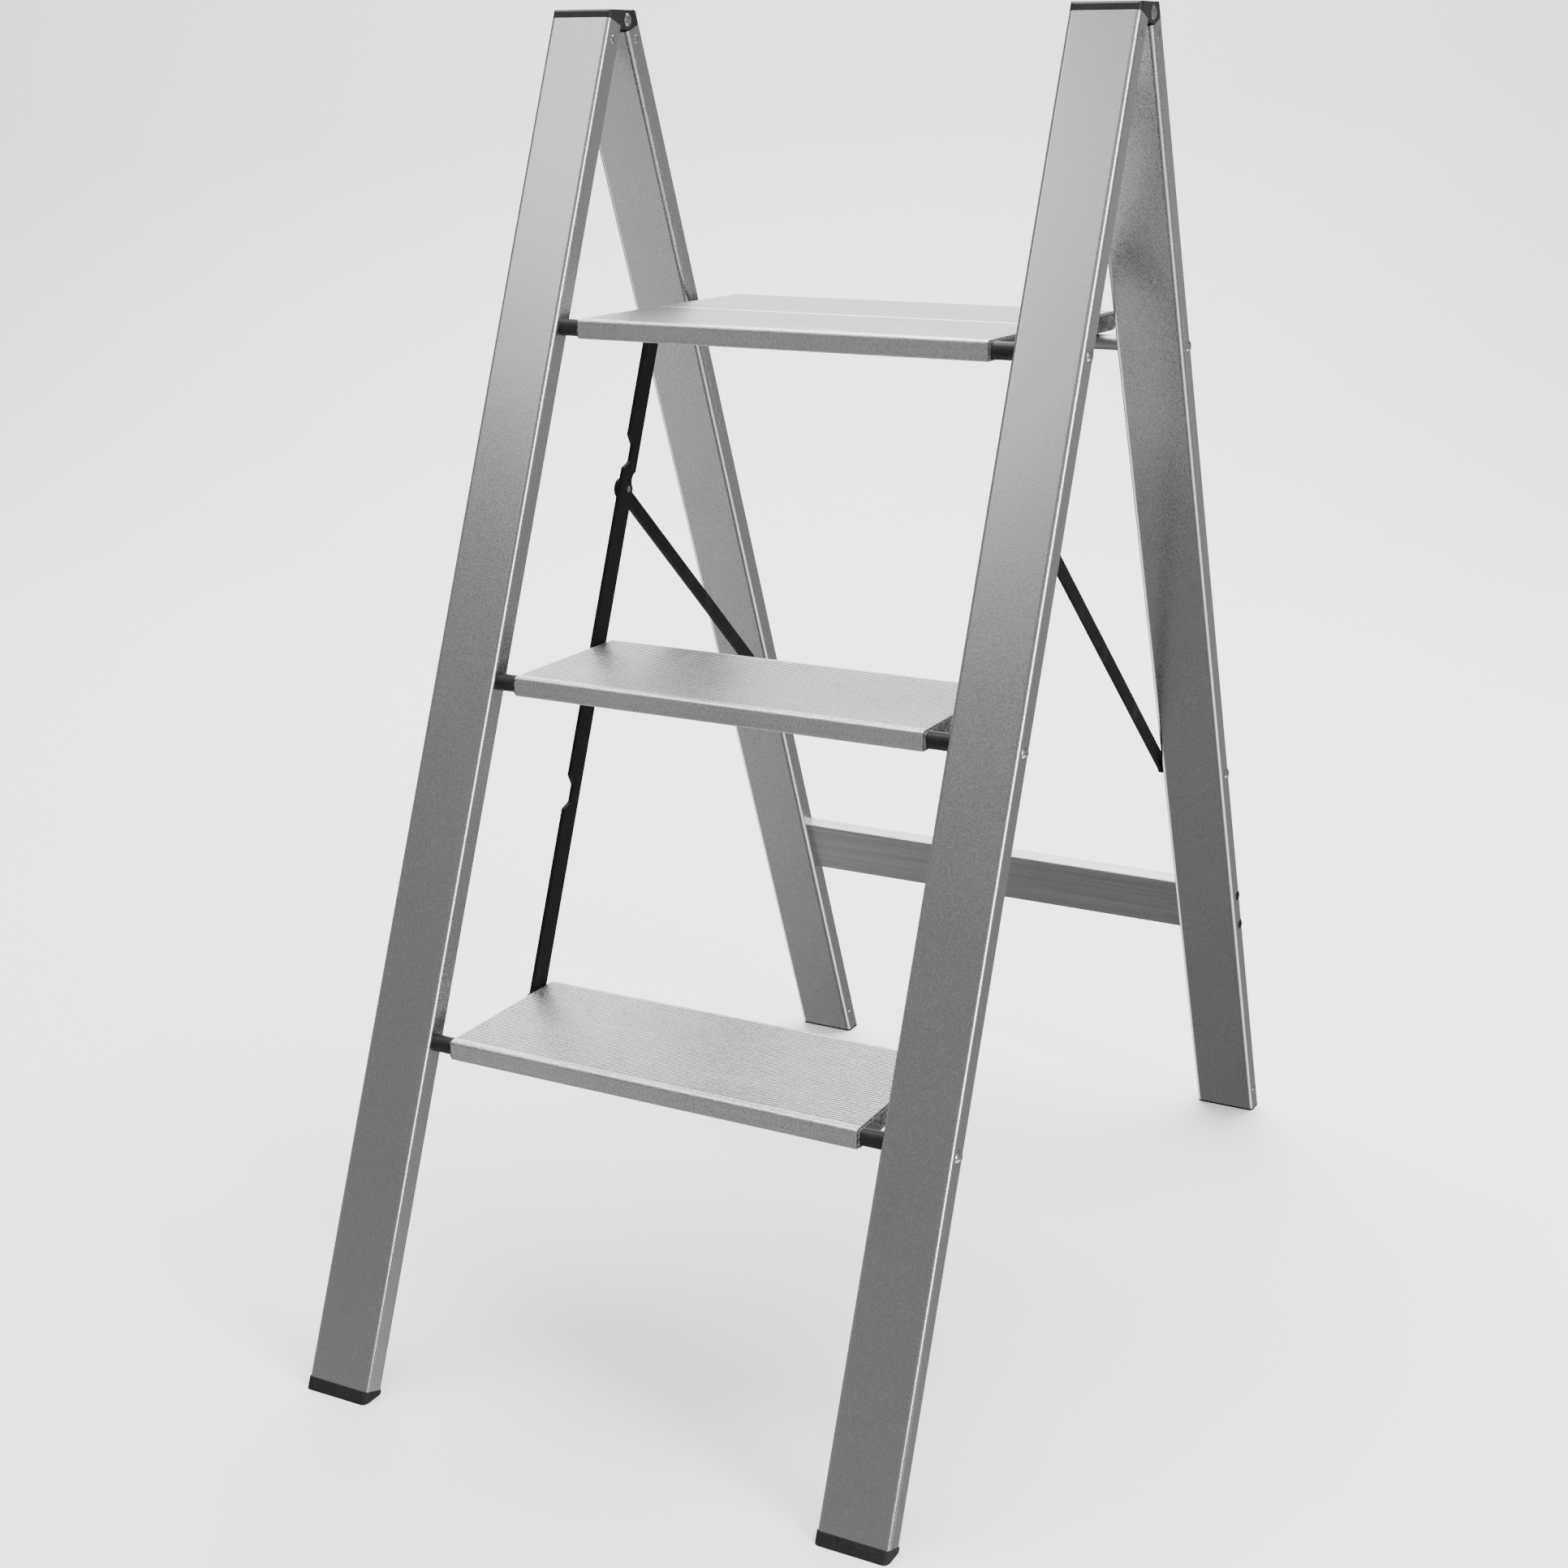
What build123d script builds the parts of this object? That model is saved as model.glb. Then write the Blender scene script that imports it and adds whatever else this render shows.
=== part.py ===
"""Slim three-step folding aluminium step ladder, standing open on its four feet.

Frame: +Z up, X across the ladder, -Y is the climbing side.  The origin is on the floor, under the
centre of the ladder's box.  Rails and legs are drawn upright in a frame of their own, where Z runs
up the rail and Y runs from its front face backwards, and are then leaned into place.
"""
from build123d import *
import os
from math import cos, hypot, radians, sin, sqrt

# ---- driving dimensions: millimetres and degrees -------------------------------------------------
OVERALL_WIDTH = 448.0        # outside to outside of the rails
RAIL_WIDTH = 50.0            # wide face of every rail and leg
RAIL_DEPTH = 18.0
RAIL_WALL = 1.5
RAIL_CORNER = 3.5
RAIL_TOP = 924.0             # height of the front rails' front face at its cut top end
FRONT_LEAN = 21.1            # front rails from the vertical
REAR_LEAN = 22.35            # rear legs from the vertical
LEG_OFFSET = 20.5            # legs' front face behind the rails' front face, at RAIL_TOP

HINGE_U = 7.5                # hinge axis above the rail's cut end, along the rail
HINGE_N = 23.4               # and behind the rail's front face
KNUCKLE_R = 7.0
KNUCKLE_GAP = 0.4            # air around a turning knuckle
CHEEK = 5.0                  # thickness of the front cap's two cheeks
LEG_CUT_U = -10.6            # the legs' top end, in the legs' own frame
PLUG_LENGTH = 22.0           # how far caps and feet reach into the tubes
PLUG_GAP = 0.15

STEP_TOPS = {"bottom": 239.5, "middle": 479.0, "top": 718.5}
STEP_THICKNESS = 14.0
STEP_HALF = 158.0            # half the length of a step over its end plugs
STEP_DEPTH = 130.0
TOP_SEAM = 114.0             # depth of the top step's front profile
TOP_DEPTH = 235.0
SKIN = 1.5                   # wall of the step profiles
PLATE = 1.5                  # outer plate of a step's end plug
RIB_PITCH = 3.0
RIB_GROOVE = 1.3
RIB_DEEP = 0.6

AXLE_R = 4.0
SLEEVE_R = 6.0
RUN_GAP = 0.05               # radial clearance of a shaft that turns in its hole
HEAD_R = 5.0
HEAD_HIGH = 2.2

LINK_BACK = 101.0            # step pivot behind the step's axle
LINK_DROP = 2.8              # and below it
LINK_X = 160.0               # inner face of the link bar
LINK_THICK = 3.0
LINK_FRONT_N = 101.5         # front and rear edges of the link bar, behind the rails' front face
LINK_REAR_N = 118.4
PIN_R = 3.0
LINK_PIN_R = 2.6
LUG_R = 6.6

JOINT_U = -317.6             # brace pivot on the link bar
JOINT_N = 113.0
SPACER = 2.5                 # washer between link bar and brace
BRACE_WIDTH = 10.8
BRACE_EYE_R = 7.6
BRACE_PIN_R = 2.5
BRACE_FOOT_N = 12.0          # brace pivot behind the leg's front face
BRACE_STEP = 2.7             # how far the brace springs out towards the leg along its length

TUBE_R = 5.5                 # round cross tube under the top step
TUBE_WALL = 1.3
TUBE_N = 12.2
TUBE_GAP = 0.3
BAR_TOP_U = -750.0           # flat cross bar, in the legs' frame
BAR_HIGH = 48.6
BAR_N = 6.0
SCREW_SPACING = 31.0
SCREW_R = 2.2
FOOT_RIVET_U = -978.5
FRONT_RIVET_U = -13.0
LEG_RIVET_U = -19.5
RIVET_R = 2.2
RIVET_HEAD_R = 3.4
FRONT_FOOT = 8.6             # height of a front foot on the rail's front face
FOOT_LIP = 0.8
PAD = 1.8                    # thickness of a rear foot's sole

# ---- sizes that follow from them ------------------------------------------------------------------
HALF = OVERALL_WIDTH / 2
INNER = HALF - RAIL_WIDTH
RAIL_MID = HALF - RAIL_WIDTH / 2
MID_N = RAIL_DEPTH / 2
SIN_F, COS_F = sin(radians(FRONT_LEAN)), cos(radians(FRONT_LEAN))
SIN_R, COS_R = sin(radians(REAR_LEAN)), cos(radians(REAR_LEAN))
FOLD = FRONT_LEAN + REAR_LEAN
FRONT_TOE = -(RAIL_TOP * SIN_F + FOOT_LIP) / COS_F
REAR_HEEL = LEG_OFFSET + (RAIL_TOP * SIN_R + RAIL_DEPTH) / COS_R
MID_Y = (FRONT_TOE + REAR_HEEL) / 2
SIDES = {"left": -1, "right": 1}

FRONT = Location((0, -MID_Y, RAIL_TOP), (-FRONT_LEAN, 0, 0))
REAR = Location((0, LEG_OFFSET - MID_Y, RAIL_TOP), (REAR_LEAN, 0, 0))


def rail_to_world(n, u):
    """A point of the rails' frame as (y, z), before the shift to the box's centre."""
    return u * SIN_F + n * COS_F, RAIL_TOP + u * COS_F - n * SIN_F


def world_to_rail(y, z):
    z -= RAIL_TOP
    return y * COS_F - z * SIN_F, y * SIN_F + z * COS_F


def leg_to_world(n, u):
    return LEG_OFFSET - u * SIN_R + n * COS_R, RAIL_TOP + u * COS_R + n * SIN_R


def world_to_leg(y, z):
    y -= LEG_OFFSET
    z -= RAIL_TOP
    return y * COS_R + z * SIN_R, z * COS_R - y * SIN_R


def turned(point, centre, degrees):
    """A (y, z) point turned about a centre, from +Y towards +Z."""
    c, s = cos(radians(degrees)), sin(radians(degrees))
    y, z = point[0] - centre[0], point[1] - centre[1]
    return centre[0] + c * y - s * z, centre[1] + s * y + c * z


def axle_point(top):
    """The axle of a step with this top height, centred in the rail's depth, as (n, u)."""
    axle_z = top - STEP_THICKNESS / 2
    return MID_N, (axle_z - RAIL_TOP + MID_N * SIN_F) / COS_F


HINGE = rail_to_world(HINGE_N, HINGE_U)
AXLES = {name: axle_point(top) for name, top in STEP_TOPS.items()}
LINK_PINS = {
    name: world_to_rail(rail_to_world(*axle)[0] + LINK_BACK, rail_to_world(*axle)[1] - LINK_DROP)
    for name, axle in AXLES.items()
}
# how far the link bar rises along the rails when the steps are folded
LINK_RISE = AXLES["top"][1] + LINK_BACK - LINK_PINS["top"][1]
LINK_SHIFT = AXLES["top"][0] + LINK_DROP - LINK_PINS["top"][0]


def brace_foot():
    """Brace pivot in the legs: the same distance from the link's joint open and folded.

    The folded joint is carried back with the legs, and the pivot is where its own line up the leg
    meets the line that halves the distance between that point and the open joint.
    """
    opened = world_to_leg(*rail_to_world(JOINT_N, JOINT_U))
    folded = rail_to_world(JOINT_N + LINK_SHIFT, JOINT_U + LINK_RISE)
    carried = world_to_leg(*turned(folded, HINGE, FOLD))
    middle = ((opened[0] + carried[0]) / 2, (opened[1] + carried[1]) / 2)
    across = (carried[0] - opened[0], carried[1] - opened[1])
    return BRACE_FOOT_N, middle[1] - across[0] * (BRACE_FOOT_N - middle[0]) / across[1]


BRACE_FOOT = brace_foot()
TUBE_U = (STEP_TOPS["top"] - STEP_THICKNESS - TUBE_GAP - TUBE_R - RAIL_TOP - TUBE_N * SIN_R) / COS_R

# ---- helpers ---------------------------------------------------------------------------------------
NODES = {}


def keep(name, *solids):
    """Store a node: one solid, or a group of separate ones."""
    pieces = [piece for solid in solids for piece in solid.solids()]
    NODES[name] = pieces[0] if len(pieces) == 1 else Compound(children=pieces)


def common(first, second):
    """What two solids share, as one shape."""
    return Part() + (first & second)


def both(solid):
    """A right-hand solid and its left-hand twin."""
    return [mirror(solid, about=Plane.YZ), solid]


def plate(outline, low_x, high_x):
    """Extrude a (y, z) outline across X."""
    return extrude(Plane.YZ.offset(low_x) * outline, amount=high_x - low_x)


def rod(radius, low_x, high_x, n, u):
    return plate(Pos(n, u) * Circle(radius), low_x, high_x)


def dome(radius, height, face_x, n, u):
    """A shallow rivet head standing on the plane x = face_x; a negative height points to -X."""
    ball = (radius ** 2 + height ** 2) / (2 * abs(height))
    way = 1 if height > 0 else -1
    middle = face_x + height + way * (sqrt(ball ** 2 - radius ** 2 / 4) - ball)
    crown = (face_x + height, 0)
    rim = (face_x, radius)
    outline = Polyline(crown, (face_x, 0), rim) + ThreePointArc(rim, (middle, radius / 2), crown)
    return Pos(0, n, u) * revolve(make_face(outline), Axis.X)


def riveted(radius, head, high, low_x, high_x, n, u):
    """A rivet from face to face with a domed head at each end."""
    return rod(radius, low_x, high_x, n, u) + dome(head, high, high_x, n, u) + dome(head, -high, low_x, n, u)


def prism(width, depth, corner, low, high, x=RAIL_MID, n=MID_N):
    """A rounded rectangular bar upright in a rail's frame."""
    return extrude(Plane.XY.offset(low) * Pos(x, n) * RectangleRounded(width, depth, corner), amount=high - low)


def tube(low, high):
    inside = RAIL_CORNER - RAIL_WALL
    hollow = prism(RAIL_WIDTH - 2 * RAIL_WALL, RAIL_DEPTH - 2 * RAIL_WALL, inside, low - 1, high + 1)
    return prism(RAIL_WIDTH, RAIL_DEPTH, RAIL_CORNER, low, high) - hollow


def plug(low, high):
    """What fills a tube's hollow at its end."""
    slack = 2 * (RAIL_WALL + PLUG_GAP)
    return prism(RAIL_WIDTH - slack, RAIL_DEPTH - slack, RAIL_CORNER - RAIL_WALL, low, high)


def below(height):
    """Everything lower than a height, in the world."""
    return Pos(0, 0, height - 100) * Box(2000, 3000, 200)


def group_name(side, name):
    return name + "_" + side


# ---- front frame ------------------------------------------------------------------------------------
FLOOR_U = -RAIL_TOP / COS_F
RAIL_END_U = FLOOR_U + FRONT_FOOT


def front_rail():
    rail = tube(RAIL_END_U, 0)
    for n, u in AXLES.values():
        rail -= rod(AXLE_R, INNER - 1, HALF + 1, n, u)
    rail -= rod(RIVET_R, INNER - 1, HALF + 1, MID_N, FRONT_RIVET_U)
    return rail


def front_cap_outline():
    """Side view of the cap: chamfered nose, level top, and the cheek round the hinge."""
    top = HINGE[1] + KNUCKLE_R
    nose = world_to_rail(1.6, top - 1.4)
    crown = world_to_rail(3.4, top)
    over = world_to_rail(HINGE[0], top)
    under = (HINGE_N + KNUCKLE_R * cos(radians(-117)), HINGE_U + KNUCKLE_R * sin(radians(-117)))
    points = [(0, 0), nose, crown, over, (HINGE_N, HINGE_U), under, (RAIL_DEPTH, 1.4), (RAIL_DEPTH, 0)]
    return make_face(Polyline(*points, close=True)) + Pos(HINGE_N, HINGE_U) * Circle(KNUCKLE_R)


def front_cap():
    cap = plate(front_cap_outline(), INNER, HALF)
    pocket = rod(KNUCKLE_R + KNUCKLE_GAP, INNER + CHEEK, HALF - CHEEK, HINGE_N, HINGE_U)
    cap -= pocket
    cap = common(cap, prism(RAIL_WIDTH, 80, RAIL_CORNER, -5, 40, n=40))
    cap += plug(-PLUG_LENGTH, 0)
    cap -= rod(PIN_R, INNER - 1, HALF + 1, HINGE_N, HINGE_U)
    cap -= rod(RIVET_R, INNER - 1, HALF + 1, MID_N, FRONT_RIVET_U)
    return cap


def front_foot():
    """A wedge between the square-cut rail and the floor."""
    boot = prism(RAIL_WIDTH + 2 * FOOT_LIP, RAIL_DEPTH + 2 * FOOT_LIP, RAIL_CORNER + FOOT_LIP,
                 FLOOR_U - 12, RAIL_END_U)
    boot += plug(RAIL_END_U, RAIL_END_U + PLUG_LENGTH)
    return FRONT * boot - below(0)


def front_frame():
    for side, twin in zip(SIDES, both(FRONT * front_rail())):
        keep(group_name(side, "front_rail"), twin)
    for side, twin in zip(SIDES, both(FRONT * front_cap())):
        keep(group_name(side, "front_top_cap"), twin)
    for side, twin in zip(SIDES, both(front_foot())):
        keep(group_name(side, "front_foot"), twin)
    for name, (n, u) in AXLES.items():
        keep("axle_" + name, FRONT * riveted(AXLE_R, HEAD_R, HEAD_HIGH, -HALF, HALF, n, u))
    sleeves = []
    for n, u in AXLES.values():
        ring = rod(SLEEVE_R, STEP_HALF + 0.3, INNER, n, u) - rod(AXLE_R, INNER - 30, INNER + 1, n, u)
        sleeves += both(FRONT * ring)
    keep("axle_sleeves", *sleeves)
    pin = riveted(PIN_R, 4.7, 1.6, INNER, HALF, HINGE_N, HINGE_U)
    keep("hinge_pins", *both(FRONT * pin))
    rivet = riveted(RIVET_R, RIVET_HEAD_R, 1.2, INNER, HALF, MID_N, FRONT_RIVET_U)
    keep("front_cap_rivets", *both(FRONT * rivet))


# ---- rear frame -------------------------------------------------------------------------------------
def leg_blank(low_z):
    """A leg's outline bar, cut level at its lower end."""
    bar = prism(RAIL_WIDTH, RAIL_DEPTH, RAIL_CORNER, -RAIL_TOP / COS_R - 20, LEG_CUT_U)
    return REAR * bar - below(low_z)


def rear_leg():
    whole = REAR * tube(-RAIL_TOP / COS_R - 20, LEG_CUT_U)
    leg = split(whole, bisect_by=Plane((0, 0, PAD)), keep=Keep.TOP)
    holes = [(RIVET_R, MID_N, LEG_RIVET_U), (RIVET_R, MID_N, FOOT_RIVET_U), (PIN_R, *BRACE_FOOT),
             (PIN_R, TUBE_N, TUBE_U)]
    holes += [(SCREW_R, BAR_N + 6, u) for u in screw_heights()]
    for radius, n, u in holes:
        leg -= REAR * rod(radius, INNER - 1, HALF + 1, n, u)
    return leg


def screw_heights():
    middle = BAR_TOP_U - BAR_HIGH / 2
    return [middle - SCREW_SPACING / 2, middle + SCREW_SPACING / 2]


def rear_cap_outline():
    """Side view of the cap on a leg: square on the tube, rounded over the back, level on top."""
    n, u = world_to_leg(*HINGE)
    top = HINGE[1] + KNUCKLE_R
    over = world_to_leg(HINGE[0], top)
    crown = world_to_leg(HINGE[0] + 4.5, top)
    outline = Polyline(crown, over, (n, u), (0, LEG_CUT_U), (RAIL_DEPTH, LEG_CUT_U), (RAIL_DEPTH, -6.5))
    outline += ThreePointArc((RAIL_DEPTH, -6.5), (15.9, -1.3), crown)
    return make_face(outline)


def rear_cap():
    n, u = world_to_leg(*HINGE)
    outline = rear_cap_outline()
    skirt = plate(outline, INNER, HALF) - rod(KNUCKLE_R + KNUCKLE_GAP, INNER - 1, HALF + 1, n, u)
    skirt = common(skirt, prism(RAIL_WIDTH, RAIL_DEPTH, RAIL_CORNER, LEG_CUT_U - 1, 40))
    side = CHEEK + 0.3
    knuckle = plate(outline + Pos(n, u) * Circle(KNUCKLE_R), INNER + side, HALF - side)
    cap = skirt + knuckle + plug(LEG_CUT_U - PLUG_LENGTH, LEG_CUT_U)
    cap -= rod(PIN_R + RUN_GAP, INNER - 1, HALF + 1, n, u)
    return cap - rod(RIVET_R, INNER - 1, HALF + 1, MID_N, LEG_RIVET_U)


def rear_foot():
    """A thin sole under the level-cut leg, with a plug up its hollow."""
    sole = common(leg_blank(0), below(PAD))
    stopper = REAR * plug(FOOT_RIVET_U - 60, FOOT_RIVET_U + 10) - below(PAD - 0.2)
    return sole + stopper - REAR * rod(RIVET_R, INNER - 1, HALF + 1, MID_N, FOOT_RIVET_U)


def cross_bar():
    middle = BAR_TOP_U - BAR_HIGH / 2
    depth = RAIL_DEPTH - BAR_N
    outside = Pos(BAR_N + depth / 2, middle) * RectangleRounded(depth, BAR_HIGH, 2)
    inside = Pos(BAR_N + depth / 2, middle) * RectangleRounded(depth - 3, BAR_HIGH - 3, 0.8)
    bar = plate(outside - inside, -INNER, INNER)
    block = plate(Pos(BAR_N + depth / 2, middle) * RectangleRounded(depth - 3.3, BAR_HIGH - 3.3, 0.8), INNER - 16, INNER)
    screws = []
    for u in screw_heights():
        shank = rod(SCREW_R, INNER - 14, HALF, BAR_N + 6, u)
        block -= rod(SCREW_R, INNER - 14, INNER + 1, BAR_N + 6, u)
        screws += both(REAR * (shank + dome(4.2, 1.4, HALF, BAR_N + 6, u)))
    keep("cross_bar", REAR * bar)
    keep("cross_bar_inserts", *both(REAR * block))
    keep("cross_bar_screws", *screws)


def rear_frame():
    for side, twin in zip(SIDES, both(rear_leg())):
        keep(group_name(side, "rear_leg"), twin)
    for side, twin in zip(SIDES, both(REAR * rear_cap())):
        keep(group_name(side, "rear_top_cap"), twin)
    for side, twin in zip(SIDES, both(rear_foot())):
        keep(group_name(side, "rear_foot"), twin)
    cross_bar()
    hollow = rod(TUBE_R, -INNER, INNER, TUBE_N, TUBE_U) - rod(TUBE_R - TUBE_WALL, -HALF, HALF, TUBE_N, TUBE_U)
    keep("cross_tube", REAR * hollow)
    keep("cross_tube_rod", REAR * riveted(PIN_R, HEAD_R - 0.6, 1.8, -HALF, HALF, TUBE_N, TUBE_U))
    rivets = []
    for u in (LEG_RIVET_U, FOOT_RIVET_U):
        rivets += both(REAR * riveted(RIVET_R, RIVET_HEAD_R, 1.2, INNER, HALF, MID_N, u))
    keep("rear_leg_rivets", *rivets)
    n, u = BRACE_FOOT
    stud = rod(PIN_R, INNER, HALF, n, u) + dome(4.4, 1.8, HALF, n, u)
    keep("brace_studs", *both(REAR * stud))


# ---- steps ------------------------------------------------------------------------------------------
def chambers(start, end):
    """The hollow bays of a profile between two depths, as (from, to) pairs."""
    count = max(1, round((end - start) / 27))
    bay = (end - start - SKIN) / count
    return [(start + SKIN + i * bay, start + (i + 1) * bay) for i in range(count)]


def bay_face(low, high, shrink=0.0):
    width = high - low - 2 * shrink
    height = STEP_THICKNESS - 2 * SKIN - 0.4 - 2 * shrink
    return Pos((low + high) / 2, -0.2) * RectangleRounded(width, height, 0.8)


def grooves(start, end):
    """Anti-slip grooves along the step's top."""
    count = int((end - start - 6) / RIB_PITCH)
    first = start + (end - start - (count - 1) * RIB_PITCH) / 2
    slot = Rectangle(RIB_GROOVE, 2 * RIB_DEEP)
    return [Pos(first + i * RIB_PITCH, STEP_THICKNESS / 2) * slot for i in range(count)]


def profile(start, end, bays, nose):
    """Closed step section from one depth to another; depths count back from the step's front edge."""
    face = Pos((start + end) / 2, 0) * Rectangle(end - start, STEP_THICKNESS)
    front = [v for v in face.vertices() if v.Y > 0 and abs(v.X - start) < 0.1]
    face = fillet(front, 2.5 if nose else 0.5)
    corners = [v for v in face.vertices() if v.Y < 0 or abs(v.X - end) < 0.1]
    face = fillet(corners, 1.0)
    first_rib = start + (3.5 if nose else 0.5)
    for low, high in bays:
        face -= bay_face(low, high)
    for slot in grooves(first_rib, end):
        face -= slot
    return face


def step_extrusion(outline):
    half = STEP_HALF - PLATE
    return plate(Pos(-STEP_THICKNESS / 2, 0) * outline, -half, half)


def end_plug(depth, bays):
    """Plate that closes a step's end, with a finger in every bay; it carries axle and link pin."""
    cover = Pos(depth / 2, -0.3) * RectangleRounded(depth - 1.6, STEP_THICKNESS - 2.2, 1.6)
    body = plate(Pos(-STEP_THICKNESS / 2, 0) * cover, STEP_HALF - PLATE, STEP_HALF)
    for low, high in bays:
        finger = Pos(-STEP_THICKNESS / 2, 0) * bay_face(low, high, PLUG_GAP)
        body += plate(finger, STEP_HALF - PLATE - 14, STEP_HALF - PLATE)
    body -= rod(AXLE_R + RUN_GAP, STEP_HALF - 40, STEP_HALF + 1, 0, 0)
    return body - rod(LINK_PIN_R, STEP_HALF - 40, STEP_HALF + 1, LINK_BACK, -LINK_DROP)


def link_pin():
    """Shouldered pin from the end plug out through the link bar."""
    outer = LINK_X + LINK_THICK
    pin = rod(LINK_PIN_R, STEP_HALF - PLATE - 14, outer + 0.2, LINK_BACK, -LINK_DROP)
    pin += rod(LINK_PIN_R + 1.6, STEP_HALF, LINK_X - 0.3, LINK_BACK, -LINK_DROP)
    return pin + dome(LINK_PIN_R + 1.8, 1.4, outer + 0.2, LINK_BACK, -LINK_DROP)


def step(name):
    y, z = rail_to_world(*AXLES[name])
    place = Location((0, y - MID_Y, z))
    wide = STEP_DEPTH
    front_end = STEP_DEPTH
    if name == "top":
        wide = TOP_DEPTH
        front_end = TOP_SEAM
    bays = [(SKIN, STEP_THICKNESS - SKIN)] + chambers(STEP_THICKNESS - SKIN, front_end)
    deck = step_extrusion(profile(0, front_end, bays, nose=True))
    if name == "top":
        seam = TOP_SEAM + 0.2
        rear_bays = chambers(seam, TOP_DEPTH)
        flap = step_extrusion(profile(seam, TOP_DEPTH, rear_bays, nose=False))
        deck -= Pos(0, TOP_SEAM - STEP_THICKNESS / 2, 0) * Box(2 * STEP_HALF, 8, 4.2)
        tongue = Pos(0, TOP_SEAM - STEP_THICKNESS / 2 - 0.8, 0) * Box(2 * (STEP_HALF - PLATE - 16), 5, 4.0)
        keep("step_top_rear_profile", place * (flap + tongue))
        bays += rear_bays
    keep("step_" + name, place * deck)
    keep("step_" + name + "_end_plugs", *both(place * end_plug(wide, bays)))
    keep("step_" + name + "_link_pins", *both(place * link_pin()))


# ---- link bars and braces ---------------------------------------------------------------------------
def notch(n, u, side):
    """A flared notch in the link bar's edge: side -1 opens to the front, 1 to the rear."""
    reach = n - side * 7.0
    shape = [(n + side * 3, u + 15.5), (n, u + 12.5), (reach, u + 6.5), (reach, u - 6.5), (n, u - 12.5),
             (n + side * 3, u - 15.5)]
    face = make_face(Polyline(*shape, close=True))
    return fillet([v for v in face.vertices() if abs(v.X - reach) < 0.1], 2.5)


def link_bar():
    """Flat bar parallel to the rails, notched where it folds over the sleeves and the cross tube."""
    top = LINK_PINS["top"][1]
    low = LINK_PINS["bottom"][1]
    middle = (LINK_FRONT_N + LINK_REAR_N) / 2
    width = LINK_REAR_N - LINK_FRONT_N
    bar = Pos(middle, (top + low) / 2) * RectangleRounded(width, top - low + 2 * LUG_R, LUG_R)
    for n, u in LINK_PINS.values():
        bar += Pos(n, u) * Circle(LUG_R)
        bar += Pos(n + LUG_R / 2, u) * Rectangle(LUG_R, 2.5 * LUG_R)
    for name in ("top", "middle"):
        bar -= notch(LINK_FRONT_N, AXLES[name][1] - LINK_RISE, -1)
    bar -= Pos(LINK_REAR_N + 3.5, JOINT_U + 8) * Circle(7)
    for n, u in LINK_PINS.values():
        bar -= Pos(n, u) * Circle(LINK_PIN_R + RUN_GAP)
    bar -= Pos(JOINT_N, JOINT_U) * Circle(BRACE_PIN_R)
    return plate(bar, LINK_X, LINK_X + LINK_THICK)


def joint_rivet():
    """Rivet and wide washer that carry the brace on the link bar."""
    washer_x = LINK_X + LINK_THICK
    brace_x = washer_x + SPACER
    outer = brace_x + LINK_THICK
    rivet = rod(BRACE_PIN_R, LINK_X, outer + 0.2, JOINT_N, JOINT_U)
    rivet += rod(BRACE_EYE_R - 1.1, washer_x, brace_x - 0.1, JOINT_N, JOINT_U)
    return rivet + dome(4.6, 1.3, outer + 0.2, JOINT_N, JOINT_U)


def brace():
    """Flat strut from the link bar's joint, sprung outwards so that its boss lies beside the leg."""
    low_x = LINK_X + LINK_THICK + SPACER
    end_x = low_x + BRACE_STEP
    foot = world_to_rail(*leg_to_world(*BRACE_FOOT))
    length = hypot(foot[0] - JOINT_N, foot[1] - JOINT_U)
    run = ((foot[0] - JOINT_N) / length, (foot[1] - JOINT_U) / length)
    edge = [(0, low_x), (length, end_x), (length, end_x + LINK_THICK), (0, low_x + LINK_THICK)]
    along = Plane(origin=(0, JOINT_N, JOINT_U), x_dir=(0, *run), z_dir=(0, run[1], -run[0]))
    strut = extrude(along * make_face(Polyline(*edge, close=True)), amount=BRACE_WIDTH / 2, both=True)
    strut += rod(BRACE_EYE_R, low_x, low_x + LINK_THICK, JOINT_N, JOINT_U)
    strut += rod(BRACE_WIDTH / 2 + 0.8, end_x, end_x + LINK_THICK, *foot)
    strut += rod(BRACE_WIDTH / 2 - 0.8, end_x, INNER - 0.9, *foot)
    return strut - rod(BRACE_PIN_R + RUN_GAP, low_x - 1, INNER, JOINT_N, JOINT_U)


def linkage():
    for side, twin in zip(SIDES, both(FRONT * link_bar())):
        keep(group_name(side, "link_bar"), twin)
    for side, twin in zip(SIDES, both(FRONT * joint_rivet())):
        keep(group_name(side, "link_rivet"), twin)
    for side, twin in zip(SIDES, both(FRONT * brace())):
        keep(group_name(side, "brace"), twin)


front_frame()
rear_frame()
for step_name in STEP_TOPS:
    step(step_name)
linkage()

os.makedirs("parts", exist_ok=True)
for node, solid in NODES.items():
    export_step(solid, "parts/" + node + ".step")
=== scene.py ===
"""Looks for the folding step ladder: materials, studio floor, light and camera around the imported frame."""
import math

import bpy
from mathutils import Matrix, Vector

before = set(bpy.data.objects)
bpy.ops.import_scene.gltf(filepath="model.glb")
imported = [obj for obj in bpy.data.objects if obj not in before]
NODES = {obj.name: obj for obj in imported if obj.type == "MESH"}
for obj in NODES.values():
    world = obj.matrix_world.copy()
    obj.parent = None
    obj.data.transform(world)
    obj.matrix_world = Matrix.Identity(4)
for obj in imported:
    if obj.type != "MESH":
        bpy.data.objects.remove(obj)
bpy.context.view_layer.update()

# lean of the rails and legs from the vertical, so that draw lines run along them
FRONT_LEAN = math.radians(21.1)
REAR_LEAN = math.radians(-22.35)
UP_FACING = 0.6              # a step face whose normal rises above this is tread

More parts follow.
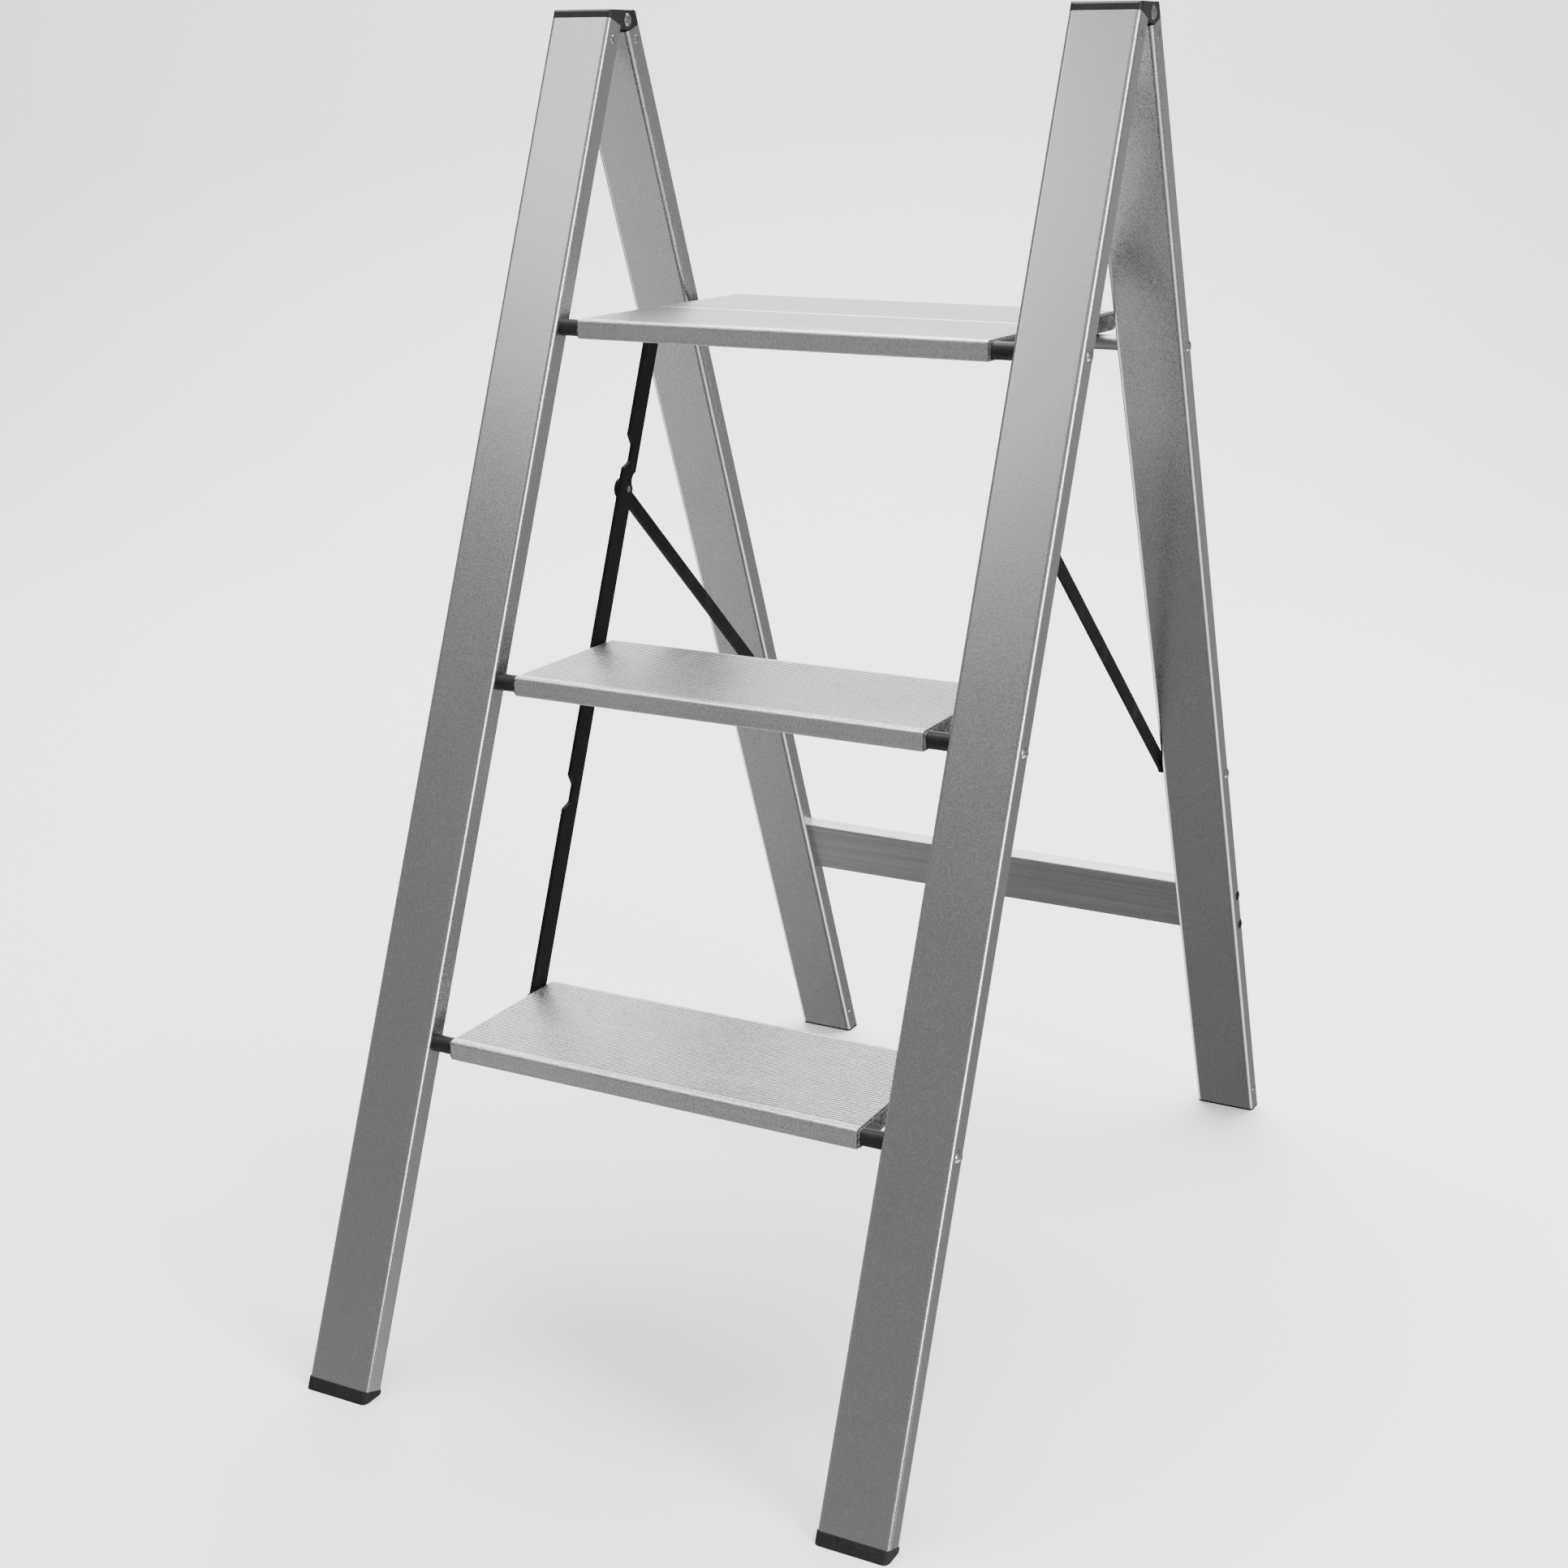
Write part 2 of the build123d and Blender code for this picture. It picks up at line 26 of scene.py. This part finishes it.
# camera: where it stands and how it is turned
CAMERA_PLACE = (0.75967, -1.54017, 0.87846)
CAMERA_AZIMUTH = 0.481
CAMERA_PITCH = -0.272
CAMERA_LENS = 54.46
CAMERA_SHIFT = (-0.0049, -0.0249)

# the floor runs flat to the bend, and then sweeps up into a backdrop
FLOOR_FRONT = -6.0
FLOOR_BEND = 2.6
BEND_RADIUS = 1.6
BEND_STEPS = 12
BACKDROP_TOP = 5.0
FLOOR_HALF_WIDTH = 8.0
FLOOR_DROP = 0.0002          # keeps the floor just under the feet

# grey level of the room by the height of the direction looked in, from straight down (-1) to straight up (1)
ROOM = [(-1.0, 0.10), (-0.85, 0.20), (-0.67, 0.27), (-0.3, 0.24), (-0.02, 0.33), (0.1, 0.24), (0.42, 0.22),
        (0.64, 0.36), (1.0, 1.0)]
ROOM_STRENGTH = 1.5
SIDE_BOUNCE = 2.8            # brighter room low down to the left and right, as seen in gloss
BOUNCE_ACROSS = (0.3, 0.8)   # how far sideways a direction points where the bounce starts and is full
BOUNCE_DOWN = (-0.42, -0.6)  # and how far down
BOUNCE_SHARPNESS = 2.4


# ---- node helpers -----------------------------------------------------------------------------------
class Maker:
    """Builds one material's node tree; every pattern hangs on the object's own coordinates."""

    def __init__(self, name, turn=0.0):
        self.material = bpy.data.materials.new(name)
        self.material.use_nodes = True
        self.tree = self.material.node_tree
        self.shader = self.tree.nodes["Principled BSDF"]
        self.coords = self.add("ShaderNodeTexCoord").outputs["Object"]
        self.turn = turn
        self.height = None

    def add(self, kind, **values):
        node = self.tree.nodes.new(kind)
        for key, value in values.items():
            setattr(node, key, value)
        return node

    def link(self, source, target):
        self.tree.links.new(source, target)

    def set(self, **values):
        for key, value in values.items():
            self.shader.inputs[key.replace("_", " ")].default_value = value

    def space(self, stretch=(1, 1, 1)):
        """Coordinates turned along the rail first, then stretched."""
        turned = self.add("ShaderNodeMapping")
        turned.inputs["Rotation"].default_value = (self.turn, 0, 0)
        self.link(self.coords, turned.inputs["Vector"])
        scaled = self.add("ShaderNodeMapping")
        scaled.inputs["Scale"].default_value = stretch
        self.link(turned.outputs["Vector"], scaled.inputs["Vector"])
        return scaled.outputs["Vector"]

    def noise(self, scale, detail=3.0, stretch=(1, 1, 1), roughness=0.55):
        node = self.add("ShaderNodeTexNoise")
        node.inputs["Scale"].default_value = scale
        node.inputs["Detail"].default_value = detail
        node.inputs["Roughness"].default_value = roughness
        self.link(self.space(stretch), node.inputs["Vector"])
        return node.outputs["Fac"]

    def spread(self, value, low, high, out_low, out_high):
        node = self.add("ShaderNodeMapRange")
        node.inputs["From Min"].default_value = low
        node.inputs["From Max"].default_value = high
        node.inputs["To Min"].default_value = out_low
        node.inputs["To Max"].default_value = out_high
        self.link(value, node.inputs["Value"])
        return node.outputs["Result"]

    def grey_mix(self, factor, dark, light):
        node = self.add("ShaderNodeMix", data_type="RGBA")
        self.link(factor, node.inputs["Factor"])
        node.inputs["A"].default_value = (*dark, 1)
        node.inputs["B"].default_value = (*light, 1)
        return node.outputs["Result"]

    def math(self, operation, first, second):
        """A maths node; each side is a socket or a plain number."""
        node = self.add("ShaderNodeMath", operation=operation)
        for socket, value in zip(node.inputs, (first, second)):
            if isinstance(value, (int, float)):
                socket.default_value = value
            else:
                self.link(value, socket)
        return node.outputs["Value"]

    def weighed(self, *parts):
        """Sum of (pattern, weight) pairs."""
        total = None
        for pattern, weight in parts:
            share = self.math("MULTIPLY", pattern, weight)
            total = share if total is None else self.math("ADD", total, share)
        return total

    def bump(self, value, strength, distance):
        node = self.add("ShaderNodeBump")
        node.inputs["Strength"].default_value = strength
        node.inputs["Distance"].default_value = distance
        self.link(value, node.inputs["Height"])
        if self.height is not None:
            self.link(self.height, node.inputs["Normal"])
        self.height = node.outputs["Normal"]
        self.link(self.height, self.shader.inputs["Normal"])

    def color(self, socket):
        self.link(socket, self.shader.inputs["Base Color"])

    def rough(self, socket):
        self.link(socket, self.shader.inputs["Roughness"])


def grey(value):
    return (value, value, value)


# ---- materials --------------------------------------------------------------------------------------
def rail_aluminium(name, turn, tone, grain):
    """Satin anodised extrusion: bead-blasted speckle, faint draw lines along the rail."""
    m = Maker(name, turn)
    m.set(Metallic=1.0)
    speckle = m.spread(m.noise(1050, 2), 0.38, 0.62, 0, 1)
    draw = m.spread(m.noise(420, 3, (1, 1, 0.012)), 0.35, 0.65, 0, 1)
    cloud = m.spread(m.noise(9, 2), 0.3, 0.7, 0, 1)
    mixed = m.weighed((speckle, 0.7), (draw, 0.15), (cloud, 0.15))
    m.color(m.grey_mix(mixed, grey(tone * (1 - grain)), grey(tone * (1 + grain))))
    m.rough(m.spread(mixed, 0, 1, 0.22, 0.32))
    m.bump(speckle, 0.14, 0.00006)
    m.bump(draw, 0.10, 0.00004)
    return m.material


def step_aluminium(name, low, high):
    """Step profile: lengthwise draw lines, fine blasted grip and soft wear."""
    m = Maker(name)
    m.set(Metallic=1.0)
    speckle = m.spread(m.noise(650, 2), 0.40, 0.60, 0, 1)
    draw = m.spread(m.noise(500, 3, (0.015, 1, 1)), 0.35, 0.65, 0, 1)
    cloud = m.spread(m.noise(14, 3), 0.3, 0.7, 0, 1)
    mixed = m.weighed((speckle, 0.6), (draw, 0.2), (cloud, 0.2))
    m.color(m.grey_mix(mixed, grey(low), grey(high)))
    m.rough(m.spread(mixed, 0, 1, 0.30, 0.44))
    m.bump(speckle, 0.7, 0.0001)
    return m.material


def bar_aluminium():
    """Cross bar and tube: satin extrusion with stronger lengthwise draw lines."""
    m = Maker("bar_satin_aluminium")
    m.set(Metallic=1.0)
    speckle = m.spread(m.noise(1200, 2), 0.36, 0.64, 0, 1)
    draw = m.spread(m.noise(380, 3, (0.012, 1, 1)), 0.35, 0.65, 0, 1)
    mixed = m.weighed((speckle, 0.5), (draw, 0.5))
    m.color(m.grey_mix(mixed, grey(0.27), grey(0.42)))
    m.rough(m.spread(mixed, 0, 1, 0.30, 0.44))
    m.bump(speckle, 0.25, 0.00006)
    return m.material


def end_plug():
    """Moulded grey plug with a coarse salt-and-pepper speckle."""
    m = Maker("speckled_grey_plastic")
    fine = m.spread(m.noise(700, 1.5), 0.46, 0.58, 0, 1)
    coarse = m.spread(m.noise(60, 2), 0.3, 0.7, 0, 1)
    mixed = m.weighed((fine, 0.8), (coarse, 0.2))
    m.set(Specular_IOR_Level=0.25)
    m.color(m.grey_mix(mixed, grey(0.008), grey(0.12)))
    m.rough(m.spread(fine, 0, 1, 0.45, 0.65))
    m.bump(fine, 0.3, 0.0001)
    return m.material


def black_moulding(name, low, high, rough_low, rough_high, scale):
    """Black plastic or rubber with a fine moulded grain and a little dust."""
    m = Maker(name)
    m.set(Specular_IOR_Level=0.16)
    grain = m.spread(m.noise(scale, 3), 0.35, 0.65, 0, 1)
    dust = m.spread(m.noise(22, 4), 0.35, 0.7, 0, 1)
    mixed = m.weighed((grain, 0.5), (dust, 0.5))
    m.color(m.grey_mix(mixed, grey(low), grey(high)))
    m.rough(m.spread(mixed, 0, 1, rough_low, rough_high))
    m.bump(grain, 0.35, 0.00012)
    return m.material


def black_steel():
    """Satin black lacquer on flat strip, a little thinner and greyer in patches."""
    m = Maker("black_lacquered_steel", FRONT_LEAN)
    m.set(Specular_IOR_Level=0.12)
    peel = m.spread(m.noise(700, 2), 0.35, 0.65, 0, 1)
    rub = m.spread(m.noise(60, 4, (1, 1, 0.3)), 0.55, 0.75, 0, 1)
    m.color(m.grey_mix(rub, grey(0.005), grey(0.012)))
    m.rough(m.spread(peel, 0, 1, 0.5, 0.62))
    m.bump(peel, 0.2, 0.00006)
    return m.material


def steel(name, low, high, rough_low, rough_high):
    """Plain steel with fine turning marks."""
    m = Maker(name)
    m.set(Metallic=1.0)
    turned = m.spread(m.noise(900, 3, (0.2, 1, 1)), 0.35, 0.65, 0, 1)
    m.color(m.grey_mix(turned, grey(low), grey(high)))
    m.rough(m.spread(turned, 0, 1, rough_low, rough_high))
    m.bump(turned, 0.12, 0.00005)
    return m.material


FRONT_RAIL = rail_aluminium("front_rail_satin_aluminium", -FRONT_LEAN, 0.45, 0.09)
REAR_LEG = rail_aluminium("rear_leg_satin_aluminium", -REAR_LEAN, 0.44, 0.16)
STEP_TOP = step_aluminium("step_ribbed_aluminium", 0.28, 0.70)
STEP_SIDE = step_aluminium("step_smooth_aluminium", 0.42, 0.60)
BAR = bar_aluminium()
PLUG = end_plug()
CAP = black_moulding("black_cap_plastic", 0.006, 0.018, 0.32, 0.5, 900)
FOOT = black_moulding("black_foot_rubber", 0.006, 0.018, 0.55, 0.8, 600)
STRIP = black_steel()
RIVET = steel("bright_rivet_steel", 0.34, 0.5, 0.14, 0.24)
SPACER = steel("dull_spacer_steel", 0.22, 0.4, 0.35, 0.5)


def dress(names, material):
    for name in names:
        mesh = NODES[name].data
        mesh.materials.clear()
        mesh.materials.append(material)
        for polygon in mesh.polygons:
            polygon.material_index = 0


def named(*starts):
    return [name for name in NODES if name.startswith(starts)]


dress(named("front_rail_"), FRONT_RAIL)
dress(named("rear_leg_left", "rear_leg_right"), REAR_LEG)
for step_node in ("step_bottom", "step_middle", "step_top", "step_top_rear_profile"):
    dress([step_node], STEP_SIDE)
    step_mesh = NODES[step_node].data
    step_mesh.materials.append(STEP_TOP)
    for polygon in step_mesh.polygons:
        if polygon.normal.z > UP_FACING:
            polygon.material_index = 1
dress(["cross_bar", "cross_tube"], BAR)
dress([name for name in NODES if name.endswith("_end_plugs")], PLUG)
dress(named("front_top_cap_", "rear_top_cap_", "axle_sleeves", "cross_bar_inserts"), CAP)
dress(named("front_foot_", "rear_foot_"), FOOT)
dress(named("link_bar_", "brace_left", "brace_right", "cross_bar_screws"), STRIP)
dress(named("axle_bottom", "axle_middle", "axle_top", "hinge_pins", "front_cap_rivets", "rear_leg_rivets",
            "cross_tube_rod", "brace_studs"), RIVET)
dress([name for name in NODES if name.endswith("_link_pins")], RIVET)
dress(named("link_rivet_"), SPACER)


# ---- floor, light and camera ------------------------------------------------------------------------
def stage_material():
    m = Maker("pale_studio_floor")
    m.color(m.grey_mix(m.noise(3, 2), grey(0.92), grey(0.95)))
    m.set(Roughness=0.9)
    return m.material


def studio_floor():
    """A floor that sweeps up into a backdrop behind the ladder, seen from the camera."""
    profile = [(FLOOR_FRONT, 0.0), (FLOOR_BEND, 0.0)]
    for i in range(1, BEND_STEPS + 1):
        angle = i / BEND_STEPS * math.pi / 2
        profile.append((FLOOR_BEND + BEND_RADIUS * math.sin(angle), BEND_RADIUS * (1 - math.cos(angle))))
    profile.append((FLOOR_BEND + BEND_RADIUS, BACKDROP_TOP))
    turn = Matrix.Rotation(CAMERA_AZIMUTH, 4, "Z")
    mesh = bpy.data.meshes.new("studio_floor")
    verts = []
    faces = []
    for depth, height in profile:
        for side in (-FLOOR_HALF_WIDTH, FLOOR_HALF_WIDTH):
            verts.append(turn @ Vector((side, depth, height - FLOOR_DROP)))
    for i in range(len(profile) - 1):
        faces.append((2 * i, 2 * i + 1, 2 * i + 3, 2 * i + 2))
    mesh.from_pydata(verts, [], faces)
    for polygon in mesh.polygons:
        polygon.use_smooth = True
    mesh.materials.append(stage_material())
    floor = bpy.data.objects.new("studio_floor", mesh)
    bpy.context.scene.collection.objects.link(floor)
    floor.visible_glossy = False    # metal reflects the graded room instead


def area(name, place, aim, width, height, power):
    light = bpy.data.lights.new(name, "AREA")
    light.shape = "RECTANGLE"
    light.size = width
    light.size_y = height
    light.energy = power
    lamp = bpy.data.objects.new(name, light)
    lamp.location = place
    lamp.rotation_euler = (Vector(aim) - Vector(place)).to_track_quat("-Z", "Y").to_euler()
    lamp.visible_camera = False
    bpy.context.scene.collection.objects.link(lamp)


def studio_light():
    area("side_strip", (2.4, -0.95, 1.1), (0, 0, 0.5), 0.5, 2.6, 95)
    area("front_box", (-1.5, -2.0, 2.5), (0, 0, 0.7), 1.6, 1.0, 12)
    area("rear_box", (-1.8, 3.0, 1.9), (0, 0, 0.4), 2.6, 1.1, 60)
    area("top_box", (0.0, 0.9, 3.6), (0, 0.4, 0), 4.2, 4.2, 440)


def soft_room():
    """A world graded by height, with a brighter patch low down on either side."""
    world = bpy.data.worlds.new("soft_room")
    world.use_nodes = True
    tree = world.node_tree

    def add(kind, **values):
        node = tree.nodes.new(kind)
        for key, value in values.items():
            setattr(node, key, value)
        return node

    def ranged(socket, start, end, **values):
        node = add("ShaderNodeMapRange", **values)
        node.inputs["From Min"].default_value = start
        node.inputs["From Max"].default_value = end
        tree.links.new(socket, node.inputs["Value"])
        return node.outputs["Result"]

    split = add("ShaderNodeSeparateXYZ")
    tree.links.new(add("ShaderNodeTexCoord").outputs["Generated"], split.inputs["Vector"])

    ramp = add("ShaderNodeValToRGB")
    tree.links.new(ranged(split.outputs["Z"], -1.0, 1.0), ramp.inputs["Fac"])
    while len(ramp.color_ramp.elements) < len(ROOM):
        ramp.color_ramp.elements.new(1.0)
    for element, (height, level) in zip(ramp.color_ramp.elements, ROOM):
        element.position = (height + 1) / 2
        element.color = (*grey(level), 1)

    across = add("ShaderNodeMath", operation="ABSOLUTE")
    tree.links.new(split.outputs["X"], across.inputs[0])
    side = ranged(across.outputs["Value"], *BOUNCE_ACROSS, interpolation_type="SMOOTHSTEP")
    sharper = add("ShaderNodeMath", operation="POWER")
    sharper.inputs[1].default_value = BOUNCE_SHARPNESS
    tree.links.new(side, sharper.inputs[0])
    bounce = add("ShaderNodeMath", operation="MULTIPLY")
    tree.links.new(sharper.outputs["Value"], bounce.inputs[0])
    tree.links.new(ranged(split.outputs["Z"], *BOUNCE_DOWN), bounce.inputs[1])

    room = add("ShaderNodeMix", data_type="RGBA")
    tree.links.new(bounce.outputs["Value"], room.inputs["Factor"])
    tree.links.new(ramp.outputs["Color"], room.inputs["A"])
    room.inputs["B"].default_value = (*grey(SIDE_BOUNCE), 1)
    background = tree.nodes["Background"]
    tree.links.new(room.outputs["Result"], background.inputs["Color"])
    background.inputs["Strength"].default_value = ROOM_STRENGTH
    bpy.context.scene.world = world


def photo_camera():
    data = bpy.data.cameras.new("photo_camera")
    data.sensor_width = 36
    data.lens = CAMERA_LENS
    data.shift_x, data.shift_y = CAMERA_SHIFT
    camera = bpy.data.objects.new("photo_camera", data)
    camera.location = CAMERA_PLACE
    ahead = math.cos(CAMERA_PITCH)
    aside = -math.sin(CAMERA_AZIMUTH) * ahead
    look = Vector((aside, math.cos(CAMERA_AZIMUTH) * ahead, math.sin(CAMERA_PITCH)))
    camera.rotation_euler = look.to_track_quat("-Z", "Y").to_euler()
    bpy.context.scene.collection.objects.link(camera)
    bpy.context.scene.camera = camera


studio_floor()
studio_light()
soft_room()
photo_camera()
